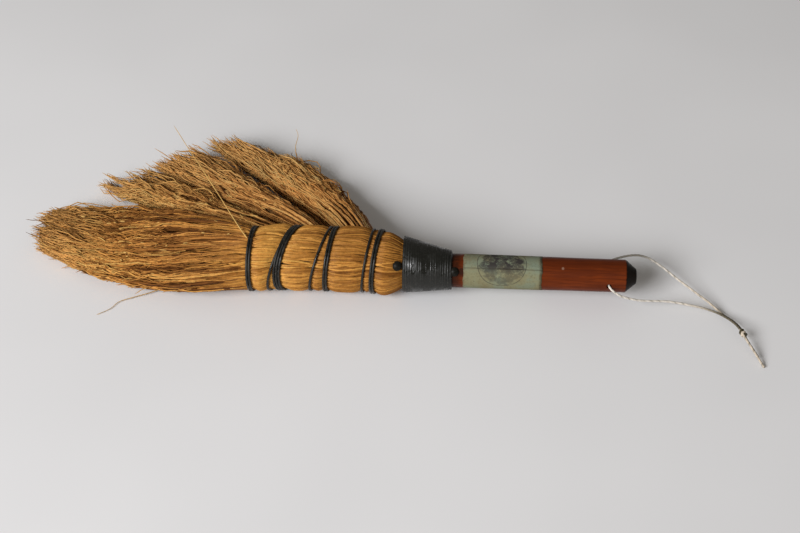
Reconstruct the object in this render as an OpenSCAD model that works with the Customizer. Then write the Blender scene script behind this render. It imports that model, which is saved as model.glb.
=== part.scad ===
// A broomcorn hand whisk of the wing type, lying on a table.
// The handle points along +X, the brush fans out to -X and +Y, and the table is z = 0.

/* [Handle] */
// Diameter of the wooden handle where it leaves the neck winding
handle_d = 22.2; // [20:0.2:24]
// Diameter of the handle where the butt chamfer starts
butt_d = 21.4; // [19:0.2:22]
// Length of handle outside the neck winding
handle_l = 119.5; // [100:0.5:140]
// Height of the handle's centre line above the table
handle_z = 19.5; // [17:0.5:24]
// Length of the black chamfer at the butt
chamfer_l = 7; // [5:0.5:10]
// Diameter of the flat at the very end of the butt
butt_flat_d = 9; // [6:0.5:14]
// Length of the tapered spike that holds the handle in the broomcorn
spike_l = 66; // [40:1:80]
// Diameter of the spike's blunt tip
spike_tip_d = 8; // [6:1:12]
// Diameter of the cross hole for the hanging string
hole_d = 3.4; // [2.6:0.2:5]
// Distance from the butt's end to the cross hole
hole_from_end = 18; // [12:0.5:22]

/* [Paper label] */
// Length of the paper label along the handle
label_l = 51; // [30:1:60]
// Bare wood between the neck winding and the label
label_gap = 7.5; // [5:0.5:12]
// Thickness of the paper with its glue
label_t = 0.25; // [0.2:0.05:0.4]
// Width of the glued lap, in degrees round the handle
label_lap = 24; // [10:2:40]

/* [Wire] */
// Diameter of the blackened binding wire
wire_d = 1.6; // [1:0.1:1.8]
// Length of the neck winding's taper
neck_l = 31; // [24:1:36]
// How far the neck winding laps onto the shoulder
neck_lap = 2; // [0:0.5:4]
// Outer diameter of the neck winding where the taper starts
neck_d = 37; // [32:0.5:40]
// How far a wire band bites into the stalks
wire_bite = 0.4; // [0.2:0.1:0.6]
// Distance of each wire band's last turn from the neck winding, tip end first
band_x = [99, 74, 48, 17.5]; // [10:0.5:100]

/* [Shoulder] */
// Length of the bound shoulder
shoulder_l = 101; // [90:1:110]
// Width of the shoulder across the fan
shoulder_w = 43.6; // [38:0.2:48]
// Height of the shoulder
shoulder_h = 41.6; // [36:0.2:46]
// How far the shoulder's middle lies to the fan side of the handle's centre line
shoulder_off = 6; // [4:0.5:8]
// The same distance at the shoulder's brush end
tip_off = 3.8; // [2:0.2:8]
// How far the bands draw the shoulder in
band_pinch = 1.1; // [1:0.1:1.4]
// Diameter of the packed core of stalks inside the cover stalks
core_d = 31; // [28:1:34]

/* [Brush heads] */
// Thickness of the fan heads where they leave the shoulder
head_root_t = 25; // [20:1:30]
// Thickness of all heads at their tips
head_tip_t = 16; // [10:1:20]

/* [Tacks and string] */
// Head diameters of the front and rear tack
tack_d = [6.6, 6.2]; // [4:0.2:8]
// Height of a tack's domed head
tack_h = 1.8; // [1:0.1:2.5]
// Length of a tack's shank
tack_l = 11; // [8:1:14]
// Diameter of the hanging string
string_d = 1.5; // [1:0.1:2]

/* [Hidden] */
$fn = 48;

// Lengths that follow from the driving sizes. x = 0 is the brush end of the neck winding's taper.
butt_x = neck_l + handle_l;
hole_x = butt_x - hole_from_end;
label_x = neck_l + label_gap;
shoulder_z = shoulder_h / 2;
wire_r = wire_d / 2;
turn_step = wire_d + 0.05;
string_r = string_d / 2;
neck_r = neck_d / 2 - wire_d;
neck_end_r = handle_d / 2 + 0.05;
neck_off = shoulder_off / 2;
neck_lift = shoulder_z - handle_z;

// Small fixed sizes
spike_shoulder_x = 12;
spike_step = 0.6;
corner_r = 1.5;
fit_gap = 0.05;
hurl_end_x = neck_l - 6;
neck_run = 16;
tip_run = 25;
cover_step = 3;
band_steps = 24;
ring_sides = 28;
head_sides = 20;
head_steps = 8;
tack_shank_d = 1.4;
front_tack_x = -5;
tack_angle = 37;

// ---- Small functions ----
function mix(a, b, t) = a + (b - a) * t;
function ease(t) = let (u = min(1, max(0, t))) u * u * (3 - 2 * u);
function unit(v) = v / norm(v);
function bezier(p, t) = mix(mix(p[0], p[1], t), mix(p[1], p[2], t), t);

// One closed skin over a list of rings that all have the same number of points.
// Seen along the way from the first ring to the last, each ring runs clockwise.
module skin(rings) {
    n = len(rings[0]);
    last = len(rings) - 1;
    polyhedron(
        points = [for (ring = rings) each ring],
        faces = [
            [for (j = [0:n - 1]) j],
            for (i = [0:last - 1]) for (j = [0:n - 1])
                let (k = (j + 1) % n)
                each [[i * n + j, (i + 1) * n + j, i * n + k], [i * n + k, (i + 1) * n + j, (i + 1) * n + k]],
            [for (j = [n - 1:-1:0]) last * n + j]
        ]
    );
}

// Tangent of a path at point i
function tangent(p, i) = unit(p[min(i + 1, len(p) - 1)] - p[max(i - 1, 0)]);

// A round tube that follows a path, its rings carried along without twist
module tube(path, r, sides) {
    normals = [
        for (
            i = 0, t = tangent(path, 0), n = unit(cross(t, abs(t.z) < 0.8 ? [0, 0, 1] : [1, 0, 0]));
            i < len(path);
            i = i + 1,
            t = tangent(path, min(i, len(path) - 1)),
            n = unit(n - t * (n * t))
        ) n
    ];
    skin([
        for (i = [0:len(path) - 1])
            let (n = normals[i], b = cross(tangent(path, i), n))
            [for (j = [0:sides - 1])
                let (a = 360 * j / sides)
                path[i] + r * (cos(a) * n + sin(a) * b)]
    ]);
}

// Two points added between each pair of a route's points, on a smooth curve through them
function smooth(p) = [
    for (i = [0:len(p) - 2])
        let (a = p[max(i - 1, 0)], b = p[i], c = p[i + 1], d = p[min(i + 2, len(p) - 1)])
        each [for (t = [0, 0.5]) b + t * ((c - a) / 2 + t * (a - 2.5 * b + 2 * c - d / 2 + t * (1.5 * (b - c) + (d - a) / 2)))],
    p[len(p) - 1]
];

// ---- Wire bands ----
// Each turn: distance from the neck winding, lean to the fan side, lean upwards.
// A lean is how far the wire shifts towards the handle for each millimetre across.
BANDS = [
    [for (i = [1, 0]) [-band_x[0] - i * turn_step, 0.07, -0.03]],
    [[-band_x[1] - 6.5, 0.37, 0.16], for (i = [2:-1:0]) [-band_x[1] - i * turn_step, 0.35, -0.03]],
    [[-band_x[2] - 7.5, 0.26, 0.16], for (i = [1, 0]) [-band_x[2] - i * turn_step, 0.14, 0.04]],
    [[-band_x[3] - 7, 0.14, 0.08], for (i = [1, 0]) [-band_x[3] - i * turn_step, 0.15, 0.02]]
];

// Half width and half height of the stalks, and where their middle lies, along x
function half_w(x) = x < 0
    ? mix(shoulder_w / 2, neck_r, ease((x + neck_run) / neck_run))
    : mix(neck_r, neck_end_r, x / neck_l);
function half_h(x) = x < 0
    ? mix(shoulder_h / 2, neck_r, ease((x + neck_run) / neck_run))
    : mix(neck_r, neck_end_r, x / neck_l);
function mid_y(x) = x < 0
    ? mix(mix(tip_off, shoulder_off, ease((x + shoulder_l) / tip_run)), neck_off, ease(x / neck_run / 2 + 1))
    : mix(neck_off, 0, x / neck_l);
function mid_z(x) = x < 0
    ? mix(shoulder_z, handle_z + neck_lift, ease((x + neck_run) / neck_run))
    : mix(handle_z + neck_lift, handle_z, x / neck_l);

// Where a turn crosses the shoulder at an angle round it, and how far a band draws the stalks in there
function turn_x(turn, a) = turn[0] + turn[1] * shoulder_w / 2 * cos(a) + turn[2] * shoulder_h / 2 * sin(a);
function pinch(x, a) = band_pinch * max([
    for (band = BANDS) each [for (turn = band)
        let (d = (x - turn_x(turn, a)) / 4)
        exp(-d * d)]
]);

// A point on the surface of the stalks, moved outwards by grow
function stalk_point(x, a, grow) = let (out = grow - (x < 2 ? pinch(x, a) : 0)) [
    x,
    mid_y(x) + (half_w(x) + out) * cos(a),
    mid_z(x) + (half_h(x) + out) * sin(a)
];

// The wire runs on from turn to turn along the underside, where the change doesn't show
module band(turns) {
    n = len(turns);
    start = -80;
    path = [
        for (i = [0:n * band_steps])
            let (
                k = min(floor(i / band_steps), n - 1),
                f = i / band_steps - k,
                turn = mix(turns[k], turns[min(k + 1, n - 1)], ease((f - 0.8) / 0.2)),
                a = start - 360 * f,
                tuck = 2.5 * (max(0, 1 - i / 2) + max(0, 1 - (n * band_steps - i) / 2))
            )
            stalk_point(turn_x(turn, a), a, wire_r - wire_bite - tuck)
    ];
    tube(path, wire_r, 8);
}

// ---- Brush heads ----
// Each head: its edge towards the handle and its other edge, as root, pull and tip points in x and y
MAIN = [[[-shoulder_l, 24.5], [-171, 74], [-253, 58]], [[-shoulder_l, -17], [-168, -35], [-253, 23]]];
FAN = [
    [[[-74, 22], [-110, 60], [-189, 109]], [[-95, 22], [-154, 56], [-221, 89]]],
    [[[-51, 22], [-80, 74], [-150, 128]], [[-66, 22], [-108, 63], [-187, 112]]],
    [[[-18, 22], [-30, 70], [-74, 122]], [[-44, 22], [-74, 78], [-148, 138]]]
];

function head_ring(edges, t, root_t) =
    let (
        right = bezier(edges[0], t),
        left = bezier(edges[1], t),
        middle = (right + left) / 2,
        side = (right - left) / 2,
        thick = mix(root_t, head_tip_t, ease(t * 1.2)) / 2,
        z = thick + (shoulder_z - root_t / 2) * (1 - t) * (1 - t)
    )
    [for (j = [0:head_sides - 1])
        let (a = -360 * j / head_sides)
        [middle.x + side.x * cos(a), middle.y + side.y * cos(a), z + thick * sin(a)]];

module head(edges, root_t) {
    skin([for (i = [0:head_steps]) head_ring(edges, i / head_steps, root_t)]);
}

// ---- The whole object's middle, which is moved to x = 0, y = 0 ----
EDGE_POINTS = [
    for (edges = [MAIN, each FAN]) each [for (edge = edges) each [
        for (i = [0:head_steps]) bezier(edge, i / head_steps)]]
];
low_x = min([for (p = EDGE_POINTS) p.x]);
mid_x = (low_x + butt_x) / 2;
centre_y = (min([for (p = EDGE_POINTS) p.y]) + max([for (p = EDGE_POINTS) p.y])) / 2;
module place() { translate([-mid_x, -centre_y, 0]) children(); }
module along_x() { rotate([0, 90, 0]) children(); }
module on_axis() { translate([0, 0, handle_z]) along_x() children(); }

// ---- The string: from the middle of the cross hole out of each side, in a low arch to the knot and the table ----
NEAR = [
    [hole_x, 0, handle_z], [hole_x, -5, handle_z], [hole_x + 0.2, -10.4, 19.4], [hole_x + 2.6, -13.2, 18],
    [hole_x + 7.5, -14, 14.8], [hole_x + 13, -13.6, 12.4], [hole_x + 20, -12.6, 10], [hole_x + 27, -11, 8.3],
    [hole_x + 34, -9.5, 7.1], [hole_x + 41, -8.6, 6], [hole_x + 48, -8.8, 5], [hole_x + 55, -9.7, 4.3],
    [hole_x + 61, -10.8, 3.8], [hole_x + 66, -12.4, 3.4], [hole_x + 71, -14.6, 3.2], [hole_x + 76, -18.7, 3.6],
    [hole_x + 80, -23.8, 4.6], [hole_x + 83, -29.8, 5.8], [hole_x + 85, -36, 6.6], [hole_x + 87.5, -42.5, 6.2],
    [hole_x + 91, -49.5, 4.6], [hole_x + 94.5, -56, 2.6], [hole_x + 97.2, -61.2, 0.9]
];
FAR = [
    [hole_x, 0, handle_z], [hole_x, 5, handle_z], [hole_x + 0.3, 10.6, 19.6], [hole_x + 2.8, 14.4, 20],
    [hole_x + 7, 16.8, 20.1], [hole_x + 11, 19, 19.6], [hole_x + 16.5, 21.5, 18.7], [hole_x + 22, 23.2, 17.2],
    [hole_x + 27.5, 23.3, 15.2], [hole_x + 32.5, 21.4, 13.2], [hole_x + 37, 19, 11.4], [hole_x + 41.5, 15.9, 9.6],
    [hole_x + 46, 12.4, 8], [hole_x + 50.5, 8.9, 6.7], [hole_x + 55.5, 4.7, 5.6], [hole_x + 61, -0.4, 4.6],
    [hole_x + 66, -5.2, 4], [hole_x + 71.5, -11.2, 3], [hole_x + 76.5, -17.2, 2.5], [hole_x + 80.7, -22.2, 3.4],
    [hole_x + 83.9, -28.3, 4.6], [hole_x + 85.9, -34.7, 5.5], [hole_x + 88, -41.3, 5], [hole_x + 91.5, -48.3, 3.4],
    [hole_x + 94.2, -53.4, 2]
];
KNOT = [hole_x + 85.6, -36, 6.1];

// ---- Sub-parts ----
module handle_body(grow) {
    corner = [for (a = [0:15:45]) [
        butt_d / 2 - corner_r * (1 - cos(a)),
        butt_x - chamfer_l - corner_r * (tan(22.5) - sin(a))]];
    rotate_extrude() polygon([
        [0, -spike_l - grow],
        [spike_tip_d / 2 - 1 + grow, -spike_l - grow],
        [spike_tip_d / 2 + grow, -spike_l + 1.5],
        [handle_d / 2 - spike_step + grow, spike_shoulder_x],
        [handle_d / 2 + grow, spike_shoulder_x + 8],
        [handle_d / 2 + grow, neck_l],
        each corner,
        [butt_flat_d / 2 + 1.4, butt_x - 1.5],
        [butt_flat_d / 2 + 0.8, butt_x - 0.6],
        [butt_flat_d / 2, butt_x],
        [0, butt_x]
    ]);
}

module handle() {
    color("#7a2f14") place() difference() {
        on_axis() handle_body(0);
        translate([hole_x, 0, handle_z]) rotate([90, 0, 0]) cylinder(d = hole_d, h = handle_d + 4, center = true);
    }
}

// The label is one turn of paper with a glued lap that faces up and to the front
module label_sheet(inner, turn) {
    taper = (handle_d - butt_d) / 2 / (butt_x - chamfer_l - neck_l);
    r0 = handle_d / 2 - taper * label_gap + inner;
    r1 = r0 - taper * label_l;
    rotate_extrude(angle = turn) polygon([
        [r0, label_x], [r0 + label_t, label_x], [r1 + label_t, label_x + label_l], [r1, label_x + label_l]
    ]);
}

module paper_label() {
    color("#9aa785") place() on_axis() {
        label_sheet(fit_gap, 360);
        rotate([0, 0, 128 - label_lap / 2]) label_sheet(fit_gap + label_t / 2, label_lap);
    }
}

module neck_winding() {
    turns = floor((neck_l + neck_lap) / wire_d);
    pitch = (neck_l + neck_lap) / turns;
    lean = atan(neck_off / neck_l);
    r_in = neck_r + fit_gap;
    slope = (neck_r - neck_end_r) / neck_l;
    color("#26241f") place()
        translate([0, neck_off, handle_z + neck_lift])
        rotate([0, 0, -lean])
        rotate([0, 90 + atan(neck_lift / neck_l), 0])
        rotate_extrude() polygon([
            [neck_end_r + 0.3, neck_l],
            [r_in + 0.4, 0.3 - neck_lap],
            for (i = [0:turns - 1]) for (a = [-75:30:75])
                let (x = (i + 0.5) * pitch - neck_lap)
                [r_in - slope * x + wire_r + wire_r * cos(a), x + pitch / 2 * sin(a) / sin(75)]
        ]);
}

module tack(d) {
    ball_r = (d * d / 4 + tack_h * tack_h) / (2 * tack_h);
    intersection() {
        translate([0, 0, tack_h - ball_r]) sphere(r = ball_r);
        cylinder(d = d, h = tack_h);
    }
    translate([0, 0, -tack_l]) cylinder(d = tack_shank_d, h = tack_l + 0.2);
}

module front_tack() {
    dir = [cos(180 - tack_angle), sin(180 - tack_angle)];
    r = half_w(front_tack_x) + 0.2;
    color("#1c1a18") place()
        translate([front_tack_x, mid_y(front_tack_x) + r * dir[0], mid_z(front_tack_x) + r * dir[1]])
        rotate([90 - tack_angle, 0, 0]) tack(tack_d[0]);
}

module rear_tack() {
    x = neck_l + 1;
    color("#1c1a18") place()
        translate([x, 0, handle_z]) rotate([90 - tack_angle, 0, 0])
        translate([0, 0, handle_d / 2]) tack(tack_d[1]);
}

module wire_band_1() { color("#2b2824") place() band(BANDS[0]); }
module wire_band_2() { color("#2b2824") place() band(BANDS[1]); }
module wire_band_3() { color("#2b2824") place() band(BANDS[2]); }
module wire_band_4() { color("#2b2824") place() band(BANDS[3]); }

module core_body(grow) {
    translate([-shoulder_l, shoulder_off, shoulder_z]) rotate([0, 90, 0])
        translate([0, 0, -grow]) cylinder(d = core_d + 2 * grow, h = shoulder_l - neck_run + 2 * grow);
}

module stalk_core() {
    color("#a87a3a") place() difference() {
        core_body(0);
        on_axis() handle_body(fit_gap);
    }
}

module cover_stalks() {
    stations = [each [-shoulder_l:cover_step:-1], each [0:4:hurl_end_x]];
    color("#c8954a") place() difference() {
        skin([for (x = stations) [for (j = [0:ring_sides - 1]) stalk_point(x, 360 * j / ring_sides, 0)]]);
        core_body(fit_gap);
        on_axis() handle_body(fit_gap);
    }
}

module main_head() { color("#b5813f") place() head(MAIN, shoulder_h - 1); }
module fan_head_1() { color("#a9763a") place() head(FAN[0], head_root_t); }
module fan_head_2() { color("#a07036") place() head(FAN[1], head_root_t); }
module fan_head_3() { color("#986a34") place() head(FAN[2], head_root_t); }

module string_near() { color("#e6dcc6") place() tube(smooth(NEAR), string_r, 8); }
module string_far() { color("#6d6f4e") place() tube(smooth(FAR), string_r, 8); }

module string_knot() {
    color("#d8ccb0") place() translate(KNOT) rotate([0, 0, -66]) along_x() rotate_extrude() polygon([
        [0, -2.9], [1.1, -2.7], [1.8, -1.6], [1.9, 0], [1.8, 1.6], [1.1, 2.7], [0, 2.9]
    ]);
}

handle();
paper_label();
neck_winding();
front_tack();
rear_tack();
wire_band_1();
wire_band_2();
wire_band_3();
wire_band_4();
stalk_core();
cover_stalks();
main_head();
fan_head_1();
fan_head_2();
fan_head_3();
string_near();
string_far();
string_knot();
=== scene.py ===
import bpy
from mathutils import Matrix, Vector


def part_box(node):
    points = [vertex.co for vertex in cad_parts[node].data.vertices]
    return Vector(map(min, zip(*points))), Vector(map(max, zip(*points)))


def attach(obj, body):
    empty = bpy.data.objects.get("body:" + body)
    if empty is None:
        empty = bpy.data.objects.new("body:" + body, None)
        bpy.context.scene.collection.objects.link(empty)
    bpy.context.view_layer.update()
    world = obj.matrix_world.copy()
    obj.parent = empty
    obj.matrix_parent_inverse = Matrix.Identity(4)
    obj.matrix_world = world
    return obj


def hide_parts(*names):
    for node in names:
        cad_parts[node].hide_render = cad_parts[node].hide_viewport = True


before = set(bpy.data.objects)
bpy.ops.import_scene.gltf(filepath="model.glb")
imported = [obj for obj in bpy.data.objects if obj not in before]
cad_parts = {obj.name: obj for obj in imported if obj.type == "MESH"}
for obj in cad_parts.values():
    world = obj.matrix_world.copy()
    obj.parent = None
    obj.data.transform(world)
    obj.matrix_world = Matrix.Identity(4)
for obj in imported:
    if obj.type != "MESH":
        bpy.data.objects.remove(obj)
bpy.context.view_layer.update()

import math
import bpy
import numpy as np
from mathutils import Vector

# ---- Sizes, in millimetres, as in part.scad ----
# x = 0 is where the neck winding's taper starts, and y = 0 and HANDLE_Z are the handle's axis.
BUTT_X = 150.5
HANDLE_Z = 19.5
HANDLE_D = 22.2
BUTT_D = 21.4
CHAMFER_L = 7.0
CHAMFER_X = BUTT_X - CHAMFER_L
HOLE_X = BUTT_X - 18.0
LABEL_L = 51.0
NECK_L = 31.0
LABEL_X = NECK_L + 7.5
# How far the neck winding laps onto the shoulder
NECK_LAP = 2.0
WIRE_D = 1.6
WIRE_R = WIRE_D / 2
# How far a wire band bites into the stalks
WIRE_BITE = 0.4
NECK_R = 37 / 2 - WIRE_D
NECK_END_R = HANDLE_D / 2 + 0.05
SHOULDER_L = 101.0
SHOULDER_W = 43.6
SHOULDER_H = 41.6
SHOULDER_Z = SHOULDER_H / 2
# How far the shoulder's middle lies to the fan's side, along it and at its brush end
SHOULDER_OFF = 6.0
TIP_OFF = 3.8
NECK_OFF = SHOULDER_OFF / 2
NECK_LIFT = SHOULDER_Z - HANDLE_Z
# The lengths over which the shoulder's shape changes into the neck's and into the brush end's
NECK_RUN = 16.0
TIP_RUN = 25.0
# How far the bands draw the shoulder in
PINCH = 1.1
# Thickness of the heads at their tips, and of the main head and the fan heads at their roots
HEAD_TIP_T = 16.0
MAIN_ROOT_T = SHOULDER_H - 1
FAN_ROOT_T = 25.0
# About how long the main head is
MAIN_L = 165
# Points along each fibre of the brush
FIBRE_STEPS = 32
TWINE_R = 0.75

# The whisk's own zero in the frame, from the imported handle
handle_low, handle_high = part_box("handle")
MID_X = BUTT_X - handle_high.x * 1000
CENTRE_Y = -(handle_low.y + handle_high.y) / 2 * 1000


def place(points):
    """Points in the whisk's own millimetres, moved to the frame in metres."""
    return (np.asarray(points, float) - np.array([MID_X, CENTRE_Y, 0])) / 1000


# ---- Small functions ----
def mix(a, b, t):
    return a + (b - a) * t


def ease(t):
    u = np.clip(t, 0, 1)
    return u * u * (3 - 2 * u)


def bezier(p, t):
    p = np.asarray(p, float)
    t = np.asarray(t, float)[..., None]
    return (1 - t) ** 2 * p[0] + 2 * t * (1 - t) * p[1] + t * t * p[2]


def catmull(points, steps):
    """A smooth curve through all the points."""
    p = np.asarray(points, float)
    p = np.vstack([2 * p[0] - p[1], p, 2 * p[-1] - p[-2]])
    out = []
    for i in range(1, len(p) - 2):
        a, b, c, d = p[i - 1:i + 3]
        for t in np.arange(steps) / steps:
            cubic = 1.5 * (b - c) + (d - a) / 2
            out.append(b + t * ((c - a) / 2 + t * (a - 2.5 * b + 2 * c - d / 2 + t * cubic)))
    return np.array(out + [p[-2]])


def round_angles(count):
    return 2 * np.pi * np.arange(count) / count


def spokes(one, two, count):
    """count directions round a circle, where one and two are the circle's own axes."""
    a = round_angles(count)
    return one[..., None, :] * np.cos(a)[:, None] + two[..., None, :] * np.sin(a)[:, None]


def waves(rng, count, s, parts):
    """Smooth random curves along s: the sum of (wavelength, amplitude) parts."""
    out = np.zeros((count, np.shape(s)[-1]))
    for length, amplitude in parts:
        pace = 2 * np.pi / (length * rng.uniform(0.7, 1.5, (count, 1)))
        height = amplitude * rng.uniform(0.5, 1.3, (count, 1))
        out += height * np.sin(pace * s + rng.uniform(0, 6.283, (count, 1)))
    return out


# ---- The camera: in front of the whisk and above it ----
CAMERA_DISTANCE = 1.1655
target = Vector(place([-3.6, 1.99, HANDLE_Z]))
azimuth = math.radians(2.86)
elevation = math.radians(42)
back = Vector((
    math.sin(azimuth) * math.cos(elevation),
    -math.cos(azimuth) * math.cos(elevation),
    math.sin(elevation),
))
camera = bpy.data.objects.new("camera", bpy.data.cameras.new("camera"))
bpy.context.scene.collection.objects.link(camera)
camera.data.lens = 80
camera.data.sensor_width = 36
camera.location = target + back * CAMERA_DISTANCE
camera.rotation_mode = "QUATERNION"
camera.rotation_quaternion = (-back).to_track_quat("-Z", "Y")
bpy.context.scene.camera = camera


# ---- Meshes ----
def mesh_object(name, verts, quads, material, body="whisk", uvs=None, tint=None):
    """A smooth mesh that rides on body. verts is in metres, uvs has one row for each quad's corner,
    and tint one colour for each vertex."""
    me = bpy.data.meshes.new(name)
    me.vertices.add(len(verts))
    me.vertices.foreach_set("co", np.asarray(verts, np.float32).ravel())
    me.loops.add(quads.size)
    me.loops.foreach_set("vertex_index", quads.ravel().astype(np.int32))
    me.polygons.add(len(quads))
    me.polygons.foreach_set("loop_start", np.arange(0, quads.size, quads.shape[1], dtype=np.int32))
    me.polygons.foreach_set("use_smooth", np.ones(len(quads), bool))
    me.update(calc_edges=True)
    if uvs is not None:
        layer = me.uv_layers.new(name="OFBake")
        layer.data.foreach_set("uv", np.asarray(uvs, np.float32).ravel())
    if tint is not None:
        layer = me.color_attributes.new("tint", "FLOAT_COLOR", "POINT")
        rgba = np.ones((len(verts), 4), np.float32)
        rgba[:, :3] = tint
        layer.data.foreach_set("color", rgba.ravel())
    me.validate()
    me.materials.append(material)
    ob = bpy.data.objects.new(name, me)
    bpy.context.scene.collection.objects.link(ob)
    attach(ob, body)
    return ob


def grid_quads(rows, columns):
    """Quads of a tube of rings: rows rings of columns points each."""
    i = np.arange(rows - 1)[:, None] * columns
    j = np.arange(columns)[None, :]
    k = (j + 1) % columns
    return np.stack([i + j, i + k, i + columns + k, i + columns + j], -1).reshape(-1, 4)


def rings_object(name, rings, material):
    """A tube through rings of points in the whisk's millimetres."""
    rings = np.asarray(rings, float)
    quads = grid_quads(*rings.shape[:2])
    return mesh_object(name, place(rings.reshape(-1, 3)), quads, material)


def tube_mesh(name, path, radius, material, body="whisk", tint=None):
    """One round tube with rounded ends. Its rings are carried along path without twist."""
    sides = 12
    path = np.asarray(path, float)
    ahead = np.gradient(path, axis=0)
    ahead /= np.linalg.norm(ahead, axis=1, keepdims=True)
    across = np.cross(ahead[0], [0, 0, 1] if abs(ahead[0][2]) < 0.8 else [1, 0, 0])
    one = []
    for direction in ahead:
        across = across - direction * (across @ direction)
        across = across / np.linalg.norm(across)
        one.append(across)
    one = np.array(one)
    two = np.cross(ahead, one)
    # Two smaller rings beyond each end round it off
    first = [path[0] - ahead[0] * radius * k for k in (0.98, 0.7)]
    last = [path[-1] + ahead[-1] * radius * k for k in (0.7, 0.98)]
    size = radius * np.concatenate([[0.15, 0.7], np.ones(len(path)), [0.7, 0.15]])
    whole = np.clip(np.arange(-2, len(path) + 2), 0, len(path) - 1)
    path = np.vstack([first, path, last])
    verts = path[:, None] + size[:, None, None] * spokes(one[whole], two[whole], sides)
    colours = None if tint is None else np.repeat(tint[whole], sides, axis=0)
    quads = grid_quads(len(path), sides)
    return mesh_object(name, place(verts.reshape(-1, 3)), quads, material, body, tint=colours)


def cell_uvs(count, steps, sides):
    """A map in which each strand has its own small cell."""
    across = int(math.ceil(math.sqrt(count / 4)))
    down = int(math.ceil(count / across))
    i = np.repeat(np.arange(steps - 1), sides)
    j = np.tile(np.arange(sides), steps - 1)
    corner_u = np.stack([i, i, i + 1, i + 1], -1) / (steps - 1)
    corner_v = np.stack([j, j + 1, j + 1, j], -1) / sides
    cell = np.arange(count)
    u = ((cell % across)[:, None, None] + 0.05 + 0.9 * corner_u) / across
    v = ((cell // across)[:, None, None] + 0.1 + 0.8 * corner_v) / down
    return np.stack([u, v], -1).reshape(-1, 2)


def strands(name, paths, radii, tints, material, sides):
    """Many thin strands in one mesh: for each one its path in the whisk's millimetres, and its
    radius and its tint at each point of the path."""
    tiny = 1e-9
    paths = np.asarray(paths, float)
    count, steps = paths.shape[:2]
    radii = np.array(radii, float)
    radii[:, -1] *= 0.25
    radii[:, 0] *= 0.6
    # Nothing sinks into the table
    paths[..., 2] = np.maximum(paths[..., 2], radii + 0.05)
    tangent = np.gradient(paths, axis=1)
    tangent /= np.linalg.norm(tangent, axis=2, keepdims=True) + tiny
    mean = paths[:, -1] - paths[:, 0]
    mean /= np.linalg.norm(mean, axis=1, keepdims=True) + tiny
    # Any direction will do that no strand runs along
    side = np.cross(mean, np.array([0.31, -0.22, 0.92]))
    side /= np.linalg.norm(side, axis=1, keepdims=True) + tiny
    side = np.broadcast_to(side[:, None], paths.shape)
    side = side - tangent * (side * tangent).sum(2, keepdims=True)
    side /= np.linalg.norm(side, axis=2, keepdims=True) + tiny
    up = np.cross(tangent, side)
    verts = paths[:, :, None] + spokes(side, up, sides) * radii[:, :, None, None]
    verts[..., 2] = np.maximum(verts[..., 2], 0.03)
    verts = place(verts.reshape(-1, 3))
    quads = grid_quads(steps, sides)[None] + np.arange(count)[:, None, None] * steps * sides
    tint = np.repeat(np.asarray(tints, float).reshape(count * steps, 3), sides, axis=0)
    uvs = cell_uvs(count, steps, sides)
    return mesh_object(name, verts, quads.reshape(-1, 4), material, uvs=uvs, tint=tint)


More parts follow.
